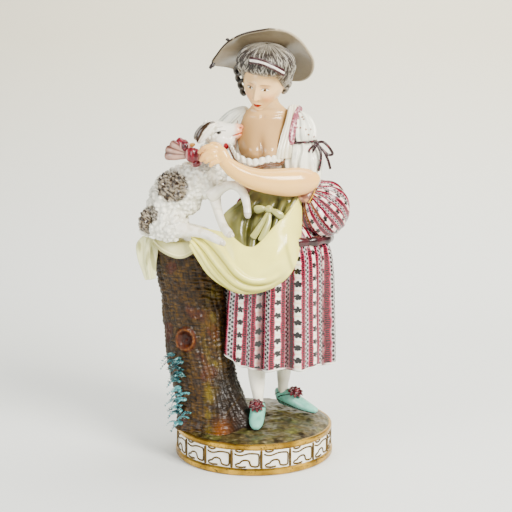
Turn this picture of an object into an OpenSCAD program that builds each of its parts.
// Porcelain group: a shepherdess leans over a tree stump and ties a bow on a lamb.
// Every separately moulded piece is its own solid, and the pieces meet at luted joints.
// Axes: +Z up, -Y towards the front, +X towards the figure's left hand. Origin: centre of the foot ring.

/* [Whole group] */
// Height from the foot ring to the top of the hat brim
group_height = 255; // [180:1:330]

/* [Plinth] */
// Outside radius of the lower gilt band
plinth_r = 48; // [44:0.5:50]
// Height of the plinth, gilt bands included
plinth_h = 18.5; // [16:0.5:22]
// Wall of the hollow plinth
plinth_wall = 4; // [3:0.5:6]
// Radius of the firing vent in the underside
vent_r = 4; // [2:0.5:6]
// Width of the unglazed foot ring
foot_w = 5; // [3:0.5:8]
// Depth of the recess inside the foot ring
foot_recess = 1.2; // [0.5:0.1:2]
// How far the white frieze stands back from the gilt bands
frieze_step = 1.2; // [0.5:0.1:2]

/* [Walls] */
// Wall of the hollow stump
stump_wall = 4; // [3:0.5:6]
// Wall of the hollow petticoat
petticoat_wall = 4; // [3:0.5:6]

/* [Hat] */
// Radius of the brim
brim_r = 29; // [24:0.5:32]
// Thickness of the brim
brim_t = 1.8; // [1.2:0.1:3]
// Angle by which the hat is tipped back
hat_tip = 28; // [20:1:50]

/* [Hidden] */

drawn_height = 255;
k = group_height / drawn_height;
through = 1;
fine = 96;

// Colours of the glaze
white_glaze = "white";
flesh = "bisque";
apron_yellow = "lightyellow";
stripe_red = "indianred";
bark_brown = "saddlebrown";
leaf_teal = "cadetblue";
gilt = "gold";
powdered_hair = "darkgray";
wine_ribbon = "maroon";
straw = "tan";
mauve = "rosybrown";

// ---------- swept forms ----------

function unit(v) = v / norm(v);

// Direction of travel at point i of a route
function heading(route, i) = unit(route[min(i + 1, len(route) - 1)] - route[max(i - 1, 0)]);

// One oval ring across the heading: ra is the half-width square to ref, rb the half-depth
function oval(centre, t, ra, rb, ref, sides) =
    let (s = unit(cross(t, ref)), m = cross(s, t))
    [for (j = [0:sides - 1]) centre + ra * cos(360 * j / sides) * s + rb * sin(360 * j / sides) * m];

// Value at u between b and c on the smooth curve through a, b, c and d
function between(a, b, c, d, u) =
    0.5 * (2 * b + (c - a) * u + (2 * a - 5 * b + 4 * c - d) * u * u + (3 * b - a - 3 * c + d) * u * u * u);

// The same rings with (steps - 1) smooth ones added in each gap
function eased(rings, steps) = let (last = len(rings) - 1) concat(
    [for (i = [0:last - 1], j = [0:steps - 1])
        between(rings[max(i - 1, 0)], rings[i], rings[i + 1], rings[min(i + 2, last)], j / steps)],
    [rings[last]]);

// Body through oval rings, one rounded link for each gap. rings: [[x, y, z, half-width, half-depth], ...]
// Level rings stay horizontal; the others turn square to the route.
module swept(rings, ref = [0, 1, 0], sides = 14, steps = 2, level = false) {
    all_rings = eased(rings, steps);
    route = [for (r = all_rings) [r[0], r[1], r[2]]];
    loops = [for (i = [0:len(all_rings) - 1])
        oval(route[i], level ? [0, 0, 1] : heading(route, i), all_rings[i][3], all_rings[i][4], ref, sides)];
    for (i = [0:len(loops) - 2])
        hull() polyhedron(concat(loops[i], loops[i + 1]),
            [[for (j = [0:sides - 1]) j], [for (j = [0:sides - 1]) sides + j]]);
}

// Egg shape: centre, the three half-sizes, and the number of links from pole to pole
module egg(c, r, links = 6, sides = 12) {
    pole = 14;
    swept([for (i = [0:links])
        let (a = (90 - pole) * (2 * i / links - 1))
        [c[0], c[1], c[2] + r[2] * sin(a), r[0] * cos(a), r[1] * cos(a)]], sides = sides, steps = 1);
}

// ---------- plinth and ground ----------

module plinth_form() {
    band = 3.4;
    cavity_top = plinth_h - plinth_wall;
    cavity_floor = plinth_wall;
    difference() {
        rotate_extrude($fn = fine) polygon([
            [0, foot_recess], [plinth_r - foot_w - 2, foot_recess], [plinth_r - foot_w - 1, 0],
            [plinth_r - 1, 0], [plinth_r, 1], [plinth_r, band], [plinth_r - frieze_step, band + 1],
            [plinth_r - frieze_step, plinth_h - band], [plinth_r - 0.5, plinth_h - band + 1],
            [plinth_r - 0.5, plinth_h - 0.6], [plinth_r - 1.1, plinth_h], [0, plinth_h]
        ]);
        translate([0, 0, cavity_floor]) cylinder(r = plinth_r - frieze_step - plinth_wall, h = cavity_top - cavity_floor, $fn = fine);
        translate([0, 0, -through]) cylinder(r = vent_r, h = plinth_wall + 2 * through, $fn = fine);
        translate([stump_vent[0], stump_vent[1], cavity_top - through]) cylinder(r = stump_vent_r, h = plinth_wall + 2 * through, $fn = fine);
    }
}

stump_vent = [-22, -8];
stump_vent_r = 6;

module mound_form() {
    swept([
        [0, 0, plinth_h, 46.4, 46.4], [0, 0, plinth_h + 1.2, 46, 46], [1, 2, plinth_h + 2.2, 42, 41],
        [5, 7, plinth_h + 4, 30, 30], [8, 12, plinth_h + 5, 16, 16]
    ], sides = 32, level = true);
}

stump_rings = [
    [-21.5, -8, 18.5, 23, 23], [-23, -6, 24, 21.5, 20], [-27, -2, 36, 19.6, 17.5], [-32.5, 3, 55, 19.4, 16.5],
    [-34.5, 5, 75, 19.4, 16.5], [-35.5, 5, 95, 19.6, 16.5], [-37.5, 4, 112, 20.6, 17], [-39.5, 2, 124.5, 21.4, 17.5]
];

module stump_form() swept(stump_rings, sides = 20, level = true);

module stump_hollow() swept([for (i = [0:len(stump_rings) - 1])
    let (r = stump_rings[i], first = i == 0, last = i == len(stump_rings) - 1)
    [r[0], r[1], r[2] - (last ? stump_wall : first ? through : 0), r[3] - stump_wall, r[4] - stump_wall]], sides = 12, level = true);

// ---------- legs and shoes ----------

module right_leg_form() swept([[2.6, -8, 33, 2.6, 3], [2.4, -8, 38, 3.1, 3.4], [1.6, -6, 46, 4.6, 4.8], [1, -3, 56, 5.4, 5.4], [1, -3, 60, 5, 5]]);

module left_leg_form() swept([[18, 12, 33, 2.8, 3], [18, 11.5, 38, 3.4, 3.6], [18, 10, 46, 4.4, 4.6], [18.5, 9, 56, 4.8, 5], [18.5, 9, 60, 4.6, 4.8]]);

module right_shoe_form() swept([
    [3.2, -4, 27.5, 1.6, 4], [3, -5.5, 27.8, 3.6, 5.5], [2.6, -9, 27.6, 4.6, 6], [2, -14, 26.4, 4.7, 5.4],
    [1.4, -20, 24.8, 4.8, 4.2], [1, -25.5, 23.4, 3.6, 2.8], [0.8, -28, 22.8, 1.4, 1.2]
], ref = [0, 0, 1]);

module left_shoe_form() swept([
    [15, 14.5, 30, 1.6, 3.8], [16.5, 13.6, 30, 3.6, 5], [19.5, 11.6, 30, 4.5, 5.6], [24, 8.2, 28.8, 4.6, 5],
    [29.5, 4, 27.2, 4.6, 4.2], [35, 0, 25.8, 3.6, 2.8], [38, -2, 25.2, 1.4, 1.2]
], ref = [0, 0, 1]);

module rosette_form(c, tip) translate(c) rotate(tip) egg([0, 0, 0], [4.2, 4.2, 2], links = 4, sides = 12);

module right_rosette_form() rosette_form([1.8, -17.5, 32.4], [38, 0, 0]);

module left_rosette_form() rosette_form([26.5, 5, 34.8], [24, 14, 0]);

// ---------- skirts ----------

petticoat_rings = [
    [13.8, 8, 56, 35.2, 30], [13.8, 7.5, 66, 34.8, 29.4], [14, 7, 90, 33.6, 28.4], [14.4, 6, 112, 32.4, 27],
    [14, 5, 124, 31.4, 25], [12, 4, 136, 27, 21], [9, 2, 148, 19, 15], [7, 1, 157, 13.6, 11]
];

module petticoat_form() swept(petticoat_rings, sides = 24, level = true);

module petticoat_hollow() swept([for (r = [for (i = [0:6]) petticoat_rings[i]])
    [r[0], r[1], max(r[2], petticoat_rings[0][2] + 2 * petticoat_wall), r[3] - petticoat_wall - (r[2] < 60 ? 0.5 : 0), r[4] - petticoat_wall]], sides = 12, level = true);

skirt_vent_r = 3;

module hem_recess() swept([[14.6, 8, 55, 30.5, 26.5], [14.6, 8, 59, 30, 26]], sides = 16, level = true);

module left_puff_form() swept([
    [37, 0, 131, 11, 12], [38, 0, 134, 14.4, 15], [39.4, 0, 142, 16, 16.5], [39.4, 0, 152, 15.8, 16.5],
    [37.6, 1, 161, 12.8, 14], [33, 2, 167, 6.5, 8]
], sides = 20, level = true);

module back_puff_form() swept([
    [10, 25, 130, 16, 8], [10, 26, 134, 20, 11], [10, 25, 143, 21, 12.5], [9, 21, 152, 17, 11], [8, 14, 159, 10, 6]
], sides = 20, level = true);

module band_form() swept([[38, 0, 127, 9.8, 15.6], [38, 0, 131, 10.6, 15.6]], sides = 20, level = true);

// ---------- apron ----------

module apron_front_form() swept([
    [7, -11.5, 159, 9, 3], [7, -15, 152, 13, 4], [5, -20, 142, 18, 4], [2, -23, 131, 18, 3.6], [0, -25, 122, 13, 3]
], sides = 16);

module apron_lap_form() {
    swept([
        [27, -14, 158, 2.6, 2], [26, -19, 149, 6.5, 3], [21, -25, 136, 10.5, 3.6], [11, -29, 123, 13, 4],
        [-3, -30, 116, 13, 4.2], [-16, -26, 120, 10.5, 4], [-26, -18, 124.6, 8, 3.6], [-33, -8, 126.4, 6, 1.6]
    ], ref = [0.2, 1, 0.35], sides = 14);
    swept([[-39.5, 2, 124.5, 23, 19], [-39.5, 1, 128, 22, 18]], sides = 24, level = true);
}

module apron_corner_form() swept([
    [-61, -7, 129, 5, 3.5], [-62.5, -7, 124, 5.2, 3.6], [-61.8, -7, 117, 4.4, 3.2], [-60.2, -7, 109, 2.6, 2.2], [-60, -7, 106, 1.8, 1.6]
], sides = 12);

module apron_bow_form() {
    egg([8, -22.5, 150], [2.6, 2, 2.8], links = 4, sides = 12);
    swept([[6, -22.5, 150.4, 1.4, 1.2], [2.6, -23, 151, 3, 1.8], [-0.6, -23, 151, 2.6, 1.4]], ref = [0, 1, 0], sides = 10);
    swept([[10, -22.5, 149.6, 1.4, 1.2], [13.4, -23, 147.6, 3, 1.8], [16.2, -23, 145.8, 2.6, 1.4]], ref = [0, 1, 0], sides = 10);
    swept([[7.4, -24, 148, 1.2, 0.9], [3, -27, 141, 2.4, 1], [0, -28.4, 133, 2.4, 1]], ref = [0, 1, 0], sides = 8);
    swept([[8.8, -24, 148, 1.2, 0.9], [8, -27.4, 140, 2.4, 1], [4, -28.6, 129.6, 2.8, 1]], ref = [0, 1, 0], sides = 8);
}

// ---------- body of the figure ----------

module bodice_form() swept([
    [7, 1, 157, 13.6, 11], [6.6, 0.5, 165, 14.4, 11.6], [6.4, -0.5, 176, 17.6, 13.6], [7, 1, 188, 19, 12.6],
    [7.4, 3, 198, 19.4, 9.6], [7.4, 3.6, 203.5, 15.5, 6.6]
], sides = 24, level = true);

module bust_form() swept([
    [5.4, -7, 179, 10.5, 9.6], [5.4, -7, 185, 12.4, 10.6], [5.6, -4, 193, 12.6, 9.6], [5.8, -1, 200, 11, 7.6],
    [5.6, -0.6, 204, 6.8, 6], [4.6, -3, 209, 5.6, 5.6], [4.2, -4.4, 212.5, 5.2, 5.4]
], sides = 16);

module frill_form() difference() {
    swept([[5.4, -6.6, 177.5, 14, 12.4], [5.4, -6.8, 182.5, 14.4, 12.8]], sides = 20, level = true);
    swept([[5.4, -6.6, 176.5, 12, 10.4], [5.4, -6.8, 183.5, 12.8, 11.2]], sides = 16, level = true);
    translate([-20, -1, 170]) cube([50, 30, 30]);
}

module left_strap_form() swept([
    [21.4, -9.6, 190.6, 2.4, 1], [22, -7.8, 194, 2.6, 1], [21.6, -4.2, 199, 2.6, 1], [20.6, 1, 203.6, 2.4, 1]
], ref = [-0.4, 1, -0.5], sides = 8);

module left_upper_sleeve_form() egg([27.7, -1.3, 196.2], [9.5, 9.7, 10.6], sides = 16);

module left_lower_sleeve_form() swept([
    [28.3, -2.9, 187.7, 7.4, 8], [28.7, -3.7, 182.8, 9.8, 10.4], [28.4, -5.6, 174.4, 11.5, 11.7], [29.6, -8.2, 166.6, 9.7, 10.3], [29.8, -10, 161.8, 6.6, 7.6]
], ref = [0, 1, 0], sides = 18);

module sleeve_ribbon_form() {
    difference() {
        swept([[28.4, -2.6, 185.4, 9.4, 10.1], [28.4, -2.6, 188, 9.4, 10.1]], sides = 18);
        swept([[28.4, -2.6, 184.4, 8.2, 8.9], [28.4, -2.6, 189, 8.2, 8.9]], sides = 14);
    }
    egg([36.2, -9.6, 187.6], [2.4, 2.2, 2.2], links = 4, sides = 10);
    swept([[37.4, -10, 187.6, 1, 0.9], [41.6, -11, 187, 2, 1], [45.8, -11.4, 184.4, 1.6, 1]], ref = [0, 1, 0], sides = 8);
    swept([[36.2, -11.4, 186.4, 0.9, 0.7], [37.6, -16.8, 181, 1, 0.7], [37.4, -18, 173, 1, 0.7]], ref = [1, 0, 0], sides = 8);
    swept([[37.4, -11, 186.4, 0.9, 0.7], [42, -15.4, 180.4, 1, 0.7], [44.4, -16, 174, 1, 0.7]], ref = [1, 0, 0], sides = 8);
}

module left_forearm_form() swept([
    [33, -13, 169.5, 4, 5], [29, -16.5, 169, 6.6, 7], [18, -21.5, 167.4, 6.8, 7], [6, -25, 167.8, 6.2, 6.4],
    [-4, -27, 171, 5.2, 5.4], [-11, -28, 175.6, 4, 4.2], [-14.5, -28, 179, 3.4, 3.6]
], ref = [0, 1, 0.1], sides = 16);

module left_hand_form() swept([
    [-14.5, -28, 179, 3.2, 3.2], [-17.5, -27.6, 182.5, 4, 2.8], [-21, -26.6, 185, 4.6, 2.8], [-25, -25, 185, 4.4, 2.8], [-28.4, -23.4, 182.4, 3.4, 2.4], [-29, -22.8, 179, 2, 1.6]
], ref = [0.3, 1, 0], sides = 12);

module right_sleeve_form() swept([
    [-4.4, 4, 203, 4, 5], [-9, 6.6, 200.6, 7, 8], [-15.4, 11.2, 195.4, 7.8, 8.6], [-21, 17, 189, 7.8, 8.4], [-24.6, 20.6, 183, 6.4, 6.8], [-26, 21.4, 180, 5, 5]
], ref = [0, 1, 0], sides = 16);

module right_forearm_form() swept([
    [-25, 22, 184, 3.8, 3.8], [-28, 19.6, 179.6, 4.6, 4.8], [-33, 14, 178.6, 4.6, 4.8], [-37, 7.4, 180.4, 3.8, 4], [-39.4, 1.4, 182.8, 3.2, 3.4]
], ref = [0, 0, 1], sides = 12);

module right_hand_form() swept([
    [-39.4, 1.4, 182.8, 3, 3], [-40.6, -2.4, 184.2, 3.6, 2.6], [-40.6, -7, 185.6, 3.8, 2.4], [-38.6, -12, 186, 2.6, 1.8]
], ref = [0, 0, 1], sides = 12);

// ---------- head ----------

module head_form() swept([
    [2.2, -12.6, 206, 2.8, 3], [2.8, -11, 208.2, 6.4, 7], [3.8, -9, 213, 9.2, 10.4], [4.8, -7.2, 219, 10.6, 11.8],
    [5.6, -5.2, 226, 10.7, 11.9], [6.2, -3.4, 231.6, 8.9, 9.6], [6.6, -2.6, 235, 4.6, 5]
], sides = 18);

module hair_form() swept([
    [6.6, 5.2, 213.3, 8.2, 5.2], [6.4, 3.7, 218.1, 12.7, 10.3], [6.4, 1.4, 225, 15.2, 14], [6.8, 0.6, 231, 15.4, 14.4],
    [7.6, 1.0, 237.1, 13.8, 12.8], [8, 2.6, 243, 9.6, 9.2]
], sides = 22, level = true);

module side_curls_form() {
    for (c = [[-9.8, 4, 224.6], [-9.4, 4.6, 219.6], [-7.4, 4.6, 214.8]])
        egg(c, [2.6, 2.8, 2.8], links = 4, sides = 10);
}

module hair_ribbon_form() difference() {
    swept([[6.8, 0.4, 233.2, 16.2, 15.4], [7.2, 0.6, 235.8, 16.2, 15.4]], sides = 20);
    swept([[6.8, 0.4, 232.2, 14.4, 13.4], [7.2, 0.6, 236.8, 14.4, 13.4]], sides = 18);
    translate([-20, 3, 220]) cube([60, 30, 30]);
}

hat_centre = [6.8, 9, 239.6];
crown_r = 12;
crown_h = 7;
hat_spokes = 40;
side_droop = 9.5;
lobe = 2.5;

function soft(u) = let (v = max(0, min(1, u))) v * v * (3 - 2 * v);

// Height of the straw at distance r from the axis, at angle a: a low crown, then a brim with drooping sides
function hat_z(r, a) =
    crown_h * (1 - soft((r - crown_r + 4) / 5))
    - side_droop * pow(max(0, (r - crown_r) / (brim_r - crown_r)), 1.6) * pow(cos(a), 2)
    - lobe * max(0, (r - crown_r) / (brim_r - crown_r)) * max(0, cos(a + 20));

function hat_sheet(radii, lift) = [for (r = radii, i = [0:hat_spokes - 1])
    let (a = 360 * i / hat_spokes) [r * cos(a), r * sin(a), hat_z(r, a) + lift]];

module hat_form() translate(hat_centre) rotate([-hat_tip, 0, 0]) {
    radii = [0.5, crown_r - 4, crown_r - 2, crown_r + 1, (crown_r + brim_r) / 2, brim_r];
    m = len(radii);
    n = hat_spokes;
    under = [for (j = [0:m - 2], i = [0:n - 1]) each let (p = j * n + i, q = j * n + (i + 1) % n)
        [[p, p + n, q + n], [p, q + n, q]]];
    over = [for (j = [0:m - 2], i = [0:n - 1]) each let (p = (m + j) * n + i, q = (m + j) * n + (i + 1) % n)
        [[p, q + n, p + n], [p, q, q + n]]];
    rim = [for (i = [0:n - 1]) each let (p = (m - 1) * n + i, q = (m - 1) * n + (i + 1) % n, up = m * n)
        [[p, p + up, q + up], [p, q + up, q]]];
    polyhedron(concat(hat_sheet(radii, 0), hat_sheet(radii, brim_t)),
        concat(under, over, rim, [[for (i = [0:n - 1]) i], [for (i = [n - 1:-1:0]) m * n + i]]), convexity = 6);
}

// Bow and two tails at the drooping tip of the brim
module hat_ribbon_form() {
    egg([-22.6, 4.4, 231], [2.2, 2, 2], links = 4, sides = 10);
    swept([[-23.6, 4, 230.4, 1, 0.8], [-25.6, 3, 228.4, 1.8, 0.9], [-26.4, 2.6, 225.4, 1.2, 0.8]], ref = [0, 1, 0], sides = 8);
    swept([[-22.8, 4, 229.8, 1, 0.8], [-22.8, 3, 226.6, 1.6, 0.9], [-22, 2.6, 223.4, 1.2, 0.8]], ref = [0, 1, 0], sides = 8);
}

// ---------- lamb ----------

module lamb_body_form() swept([
    [-60, -3, 138, 7, 7], [-56, -3, 142, 12.6, 12], [-49, -4, 148, 16.4, 15], [-41, -5, 154.5, 16.8, 15],
    [-33, -6, 161, 14.4, 13], [-27.5, -6, 168, 11.4, 10.6], [-25.5, -6, 175, 9, 8.8], [-24.6, -6, 181, 7.6, 7.6], [-23.6, -6, 185, 7, 7]
], sides = 20);

module lamb_head_form() swept([
    [-30, -6, 188.4, 3.6, 3.4], [-27.6, -6, 189.4, 6.8, 6.4], [-22, -6, 191.4, 8, 7], [-16.4, -6.4, 193, 6.8, 5.8],
    [-11.6, -6.8, 194, 4.6, 4.4], [-8, -7, 194.6, 3.6, 3.6], [-6.6, -7, 194.8, 2, 2]
], ref = [0, 1, 0], sides = 16);

module lamb_near_ear_form() swept([
    [-21, -9.4, 196, 1.8, 1.6], [-24.2, -11.8, 196.6, 2.8, 1.8], [-27.6, -13.6, 195, 3.2, 1.5], [-30.2, -14.4, 192, 2.8, 1.2], [-32.4, -14, 188.6, 1, 0.7]
], ref = [0, 1, 0], sides = 10);

module lamb_far_ear_form() swept([
    [-25, 0.4, 194.6, 1.4, 1], [-28.6, 1.6, 194, 3, 1.3], [-32.4, 2.6, 191, 2.8, 1.2], [-35, 3, 187.6, 1, 0.7]
], ref = [0, 1, 0], sides = 10);

module near_foreleg_form() swept([
    [-22.1, -12, 157.8, 4.4, 4], [-17.6, -14.1, 162.5, 3.5, 3.4], [-12.6, -15.4, 165, 3, 3], [-7.6, -17, 163.4, 2.8, 2.8],
    [-4.6, -18, 157.6, 2.6, 2.6], [-3.4, -18.6, 150.6, 2.2, 2.4], [-3, -19.4, 145.6, 1.8, 2]
], ref = [0, 1, 0], sides = 12);

module far_foreleg_form() swept([
    [-23.2, -9.4, 159, 4.2, 4], [-22.2, -12, 154.2, 3.2, 3.2], [-20.8, -15, 149.4, 2.7, 2.8], [-19, -19, 144.6, 2.5, 2.6],
    [-17, -23, 140.4, 2.6, 2.4], [-14.4, -27, 137.6, 2.6, 2.2], [-12, -29.6, 136, 1.4, 1.3]
], ref = [0, 1, 0], sides = 12);

module near_hindleg_form() swept([
    [-56, -14.6, 140, 5, 4], [-51, -16, 138.6, 9, 6], [-44, -17, 137.4, 9.6, 6.6], [-37, -18, 135.2, 7, 5.2],
    [-30, -19.4, 133, 3.6, 3.4], [-23, -22, 131.4, 2.6, 2.6], [-17, -24.6, 130, 2.2, 2]
], ref = [0, 1, 0], sides = 12);

module far_hindleg_form() swept([
    [-44, 5, 136, 6, 5], [-36, 6, 133.6, 4.4, 4], [-28, 5, 132, 2.6, 2.6], [-20.6, 3.6, 131, 2, 2]
], ref = [0, 1, 0], sides = 12);

module lamb_tail_form() swept([
    [-62, -3, 147.4, 1.8, 2], [-64.4, -3, 145, 3.6, 3.6], [-65.8, -3, 139.6, 4.4, 4.2], [-64.8, -3, 133.6, 3.8, 3.8], [-62.6, -3, 130, 1.6, 2]
], sides = 12);

module collar_form() difference() {
    swept([[-25.4, -6, 177.6, 10.4, 10.2], [-24.8, -6, 181.4, 9.8, 9.6]], sides = 18);
    swept([[-25.6, -6, 176.6, 8.6, 8.4], [-24.6, -6, 182.4, 8, 7.8]], sides = 18);
}

module lamb_bow_form() {
    egg([-30.6, -15, 182], [3, 3, 3.2], links = 4, sides = 12);
    swept([[-32.6, -15.6, 182.8, 1.6, 1.6], [-38, -16.6, 185, 4.6, 3], [-45, -17, 187, 6, 3.4], [-50, -17, 187.4, 4.6, 2]], ref = [0, 1, 0], sides = 12);
}

// ---------- leaves ----------

leaf_count = 14;

// Point on the left flank of the stump, t from the top of the spray to its foot
function flank(t) = let (a = 198 + 20 * t)
    [-34 + 9 * t + (19.4 + 1.2 * t) * cos(a), 3.6 - 7.6 * t + (16.5 + 2.4 * t) * sin(a), 63 - 41 * t];

module leaf_spray_form() {
    swept([for (i = [0:4]) [each flank(i / 4), 1.5, 1.5]], sides = 8, steps = 1);
    for (i = [0:leaf_count - 1])
        let (root = flank(i / (leaf_count - 1)), side = i % 2 == 0 ? -1 : 1)
        hull() {
            translate(root) sphere(r = 1.3, $fn = 8);
            translate(root + [-3.4, 2.6 * side - 2, -1.6]) sphere(r = 1.5, $fn = 8);
            translate(root + [-5.6, 4.4 * side - 3, -4.6]) sphere(r = 0.6, $fn = 8);
        }
}

// ---------- pieces: each is cut to meet the ones it is luted to ----------

module plinth() color(white_glaze) scale(k) plinth_form();
module ground_mound() color("darkolivegreen") scale(k) difference() {
    mound_form();
    stump_form();
    right_shoe_form();
    left_shoe_form();
}
module tree_stump() color(bark_brown) scale(k) difference() {
    stump_form();
    stump_hollow();
    petticoat_form();
}
module leaf_spray() color(leaf_teal) scale(k) difference() {
    leaf_spray_form();
    stump_form();
    mound_form();
}
module right_leg() color(white_glaze) scale(k) difference() {
    right_leg_form();
    right_shoe_form();
    translate([-30, -30, petticoat_rings[0][2] + 3]) cube([60, 60, 10]);
}
module left_leg() color(white_glaze) scale(k) difference() {
    left_leg_form();
    left_shoe_form();
    translate([-30, -30, petticoat_rings[0][2] + 3]) cube([90, 60, 10]);
}
module right_shoe() color(leaf_teal) scale(k) right_shoe_form();
module left_shoe() color(leaf_teal) scale(k) left_shoe_form();
module right_shoe_rosette() color(wine_ribbon) scale(k) difference() {
    right_rosette_form();
    right_shoe_form();
    right_leg_form();
}
module left_shoe_rosette() color(wine_ribbon) scale(k) difference() {
    left_rosette_form();
    left_shoe_form();
    left_leg_form();
}
module petticoat() color(stripe_red) scale(k) difference() {
    petticoat_form();
    petticoat_hollow();
    hem_recess();
    translate([14, 14, petticoat_rings[0][2]]) cylinder(r = skirt_vent_r, h = 3 * petticoat_wall, $fn = 24);
}
module left_overskirt_puff() color(stripe_red) scale(k) difference() {
    left_puff_form();
    petticoat_form();
    left_lower_sleeve_form();
}
module back_overskirt_puff() color(stripe_red) scale(k) difference() {
    back_puff_form();
    petticoat_form();
    bodice_form();
    left_puff_form();
}
module overskirt_band() color(wine_ribbon) scale(k) difference() {
    band_form();
    petticoat_form();
}
module apron_front() color(apron_yellow) scale(k) difference() {
    apron_front_form();
    petticoat_form();
    bodice_form();
}
module apron_lap() color(apron_yellow) scale(k) difference() {
    apron_lap_form();
    petticoat_form();
    apron_front_form();
    stump_form();
}
module apron_corner() color(apron_yellow) scale(k) difference() {
    apron_corner_form();
    stump_form();
    apron_lap_form();
}
module apron_bow() color(apron_yellow) scale(k) difference() {
    apron_bow_form();
    apron_front_form();
    apron_lap_form();
}
module bodice() color(mauve) scale(k) difference() {
    bodice_form();
    bust_form();
    lamb_head_form();
}
module bust() color(flesh) scale(k) difference() {
    bust_form();
    head_form();
}
module neckline_frill() color(white_glaze) scale(k) difference() {
    frill_form();
    bodice_form();
    bust_form();
}
module left_shoulder_strap() color(mauve) scale(k) difference() {
    left_strap_form();
    bodice_form();
    bust_form();
}
module left_upper_sleeve() color(white_glaze) scale(k) difference() {
    left_upper_sleeve_form();
    bodice_form();
    left_strap_form();
    left_lower_sleeve_form();
    sleeve_ribbon_form();
}
module left_lower_sleeve() color(white_glaze) scale(k) difference() {
    left_lower_sleeve_form();
    bodice_form();
    left_forearm_form();
    sleeve_ribbon_form();
}
module left_sleeve_ribbon() color(wine_ribbon) scale(k) difference() {
    sleeve_ribbon_form();
    bodice_form();
}
module left_forearm() color(flesh) scale(k) difference() {
    left_forearm_form();
    bodice_form();
}
module left_hand() color(flesh) scale(k) difference() {
    left_hand_form();
    left_forearm_form();
}
module right_sleeve() color(white_glaze) scale(k) difference() {
    right_sleeve_form();
    bodice_form();
    lamb_head_form();
    lamb_far_ear_form();
}
module right_forearm() color(flesh) scale(k) difference() {
    right_forearm_form();
    right_sleeve_form();
    lamb_body_form();
}
module right_hand() color(flesh) scale(k) difference() {
    right_hand_form();
    right_forearm_form();
    lamb_bow_form();
}
module head() color(flesh) scale(k) head_form();
module hair() color(powdered_hair) scale(k) difference() {
    hair_form();
    head_form();
    bust_form();
    hat_form();
}
module side_curls() color(powdered_hair) scale(k) difference() {
    side_curls_form();
    hair_form();
    head_form();
}
module hair_ribbon() color(wine_ribbon) scale(k) difference() {
    hair_ribbon_form();
    hair_form();
    head_form();
}
module hat() color(straw) scale(k) hat_form();
module hat_ribbon() color(wine_ribbon) scale(k) difference() {
    hat_ribbon_form();
    hat_form();
}
module lamb_body() color(white_glaze) scale(k) difference() {
    lamb_body_form();
    apron_lap_form();
}
module lamb_head() color(white_glaze) scale(k) difference() {
    lamb_head_form();
    lamb_body_form();
    bust_form();
}
module lamb_near_ear() color(white_glaze) scale(k) difference() {
    lamb_near_ear_form();
    lamb_head_form();
}
module lamb_far_ear() color(white_glaze) scale(k) difference() {
    lamb_far_ear_form();
    lamb_head_form();
}
module lamb_near_foreleg() color(white_glaze) scale(k) difference() {
    near_foreleg_form();
    lamb_body_form();
    apron_front_form();
}
module lamb_far_foreleg() color(white_glaze) scale(k) difference() {
    far_foreleg_form();
    lamb_body_form();
    near_foreleg_form();
}
module lamb_near_hindleg() color(white_glaze) scale(k) difference() {
    near_hindleg_form();
    lamb_body_form();
    apron_lap_form();
}
module lamb_far_hindleg() color(white_glaze) scale(k) difference() {
    far_hindleg_form();
    lamb_body_form();
    apron_lap_form();
}
module lamb_tail() color(bark_brown) scale(k) difference() {
    lamb_tail_form();
    lamb_body_form();
    apron_corner_form();
    apron_lap_form();
}
module lamb_collar() color(wine_ribbon) scale(k) difference() {
    collar_form();
    lamb_body_form();
}
module lamb_bow() color(wine_ribbon) scale(k) difference() {
    lamb_bow_form();
    lamb_body_form();
    collar_form();
    left_hand_form();
}

plinth();
ground_mound();
tree_stump();
leaf_spray();
right_leg();
left_leg();
right_shoe();
left_shoe();
right_shoe_rosette();
left_shoe_rosette();
petticoat();
left_overskirt_puff();
back_overskirt_puff();
overskirt_band();
apron_front();
apron_lap();
apron_corner();
apron_bow();
bodice();
bust();
neckline_frill();
left_shoulder_strap();
left_upper_sleeve();
left_lower_sleeve();
left_sleeve_ribbon();
left_forearm();
left_hand();
right_sleeve();
right_forearm();
right_hand();
head();
hair();
side_curls();
hair_ribbon();
hat();
hat_ribbon();
lamb_body();
lamb_head();
lamb_near_ear();
lamb_far_ear();
lamb_near_foreleg();
lamb_far_foreleg();
lamb_near_hindleg();
lamb_far_hindleg();
lamb_tail();
lamb_collar();
lamb_bow();
